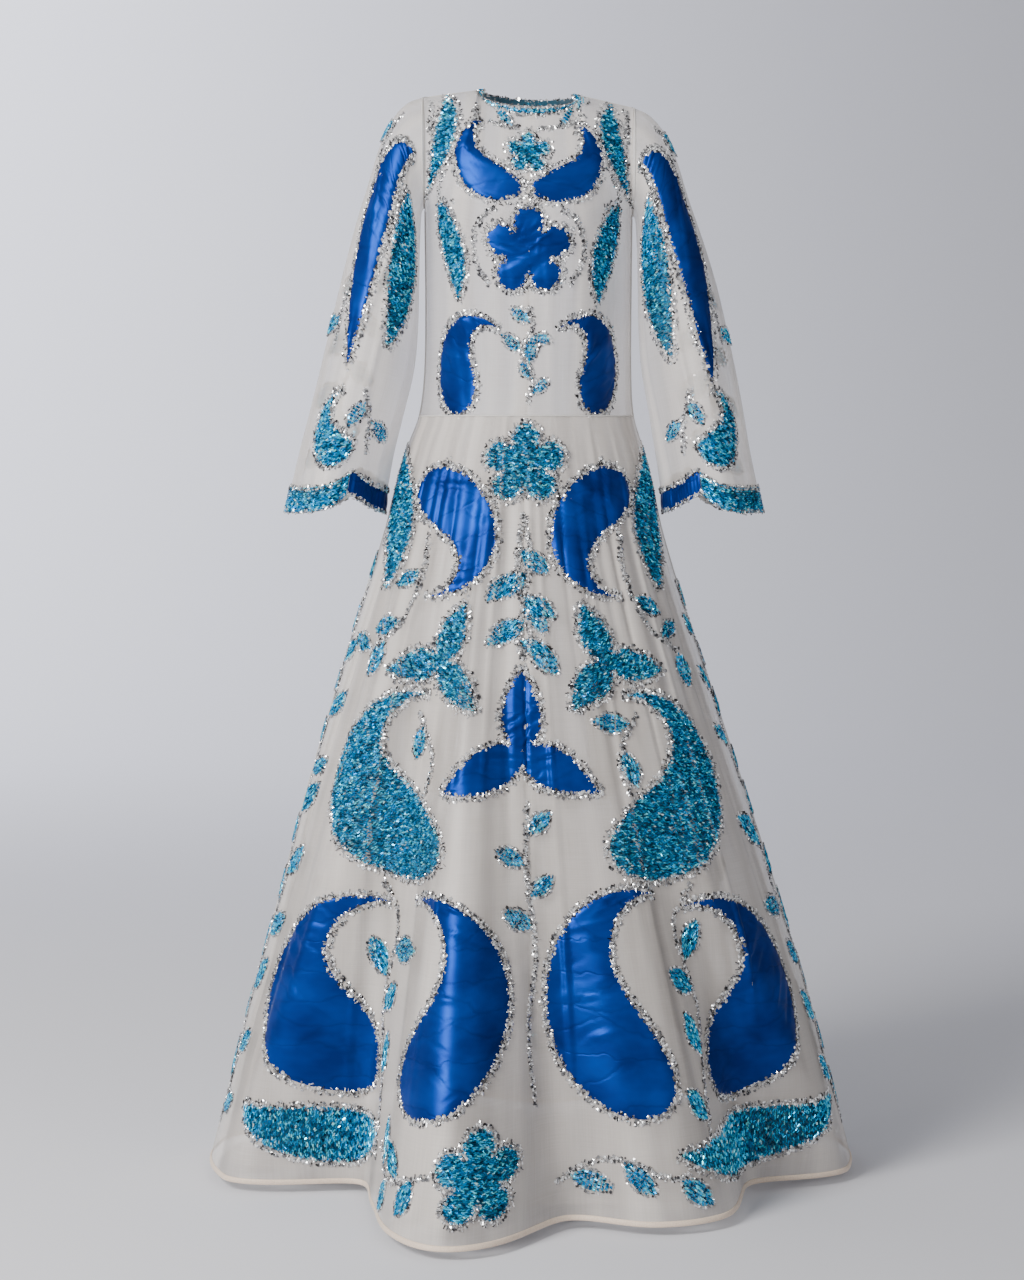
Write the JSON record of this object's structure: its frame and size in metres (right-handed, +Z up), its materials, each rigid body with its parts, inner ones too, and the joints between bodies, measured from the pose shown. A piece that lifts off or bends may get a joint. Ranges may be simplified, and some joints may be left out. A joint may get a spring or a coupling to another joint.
{
  "type": "sequined evening dress",
  "caption": "Floor-length evening dress of sheer organza with long bell sleeves, an A-line skirt and raised blue and turquoise beaded patches.",
  "frame": {"origin": "between the shoulders, level with their seams, where the wearer holds the dress up", "axes": "+Z up, -Y towards the dress's front, +X towards the viewer's right as seen from the front"},
  "size_m": [0.957, 0.9435, 1.5749],
  "materials": {
    "organza": "sheer silk organza, warm pale grey",
    "underskirt_organza": "sheer silk organza, a second layer",
    "blue_taffeta": "royal blue silk taffeta, puckered, edged with silver beads",
    "turquoise_beads": "rows of turquoise bugle beads and sequins, edged with silver beads",
    "hem_ribbon": "narrow pale beige rolled hem",
    "pearl_button": "small covered buttons"
  },
  "bodies": {
    "root": {"bodice_front": "organza", "bodice_back_left": "organza", "bodice_back_right": "organza", "skirt_front": "organza", "skirt_back_left": "organza", "skirt_back_right": "organza", "sleeve_left": "organza", "sleeve_right": "organza", "underskirt_front": "underskirt_organza", "underskirt_back": "underskirt_organza", "yoke_paisley_left": "blue_taffeta", "yoke_paisley_right": "blue_taffeta", "bodice_rosette": "blue_taffeta", "waist_paisley_left": "blue_taffeta", "waist_paisley_right": "blue_taffeta", "hip_paisley_left": "blue_taffeta", "hip_paisley_right": "blue_taffeta", "rising_spray": "blue_taffeta", "hem_paisley_middle_left": "blue_taffeta", "hem_paisley_middle_right": "blue_taffeta", "hem_paisley_side_left": "blue_taffeta", "hem_paisley_side_right": "blue_taffeta", "hem_paisley_back_left": "blue_taffeta", "hem_paisley_back_right": "blue_taffeta", "sleeve_leaf_long_left": "blue_taffeta", "sleeve_leaf_long_right": "blue_taffeta", "cuff_band_inner_left": "blue_taffeta", "cuff_band_inner_right": "blue_taffeta", "yoke_rosette": "turquoise_beads", "yoke_leaf_left": "turquoise_beads", "yoke_leaf_right": "turquoise_beads", "bodice_leaf_left": "turquoise_beads", "bodice_leaf_right": "turquoise_beads", "hip_rosette": "turquoise_beads", "hip_leaf_left": "turquoise_beads", "hip_leaf_right": "turquoise_beads", "spray_left": "turquoise_beads", "spray_right": "turquoise_beads", "rising_paisley_left": "turquoise_beads", "rising_paisley_right": "turquoise_beads", "hem_rosette": "turquoise_beads", "hem_leaf_side_left": "turquoise_beads", "hem_leaf_side_right": "turquoise_beads", "hem_leaf_back_left": "turquoise_beads", "hem_leaf_back_right": "turquoise_beads", "rising_leaf_back_left": "turquoise_beads", "rising_leaf_back_right": "turquoise_beads", "sleeve_leaf_inner_left": "turquoise_beads", "sleeve_leaf_inner_right": "turquoise_beads", "sleeve_paisley_left": "turquoise_beads", "sleeve_paisley_right": "turquoise_beads", "cuff_band_outer_left": "turquoise_beads", "cuff_band_outer_right": "turquoise_beads", "neck_edging": "turquoise_beads", "hem_band_front": "hem_ribbon", "hem_band_back_left": "hem_ribbon", "hem_band_back_right": "hem_ribbon", "button_1": "pearl_button", "button_2": "pearl_button", "button_3": "pearl_button"}
  },
  "joints": []
}
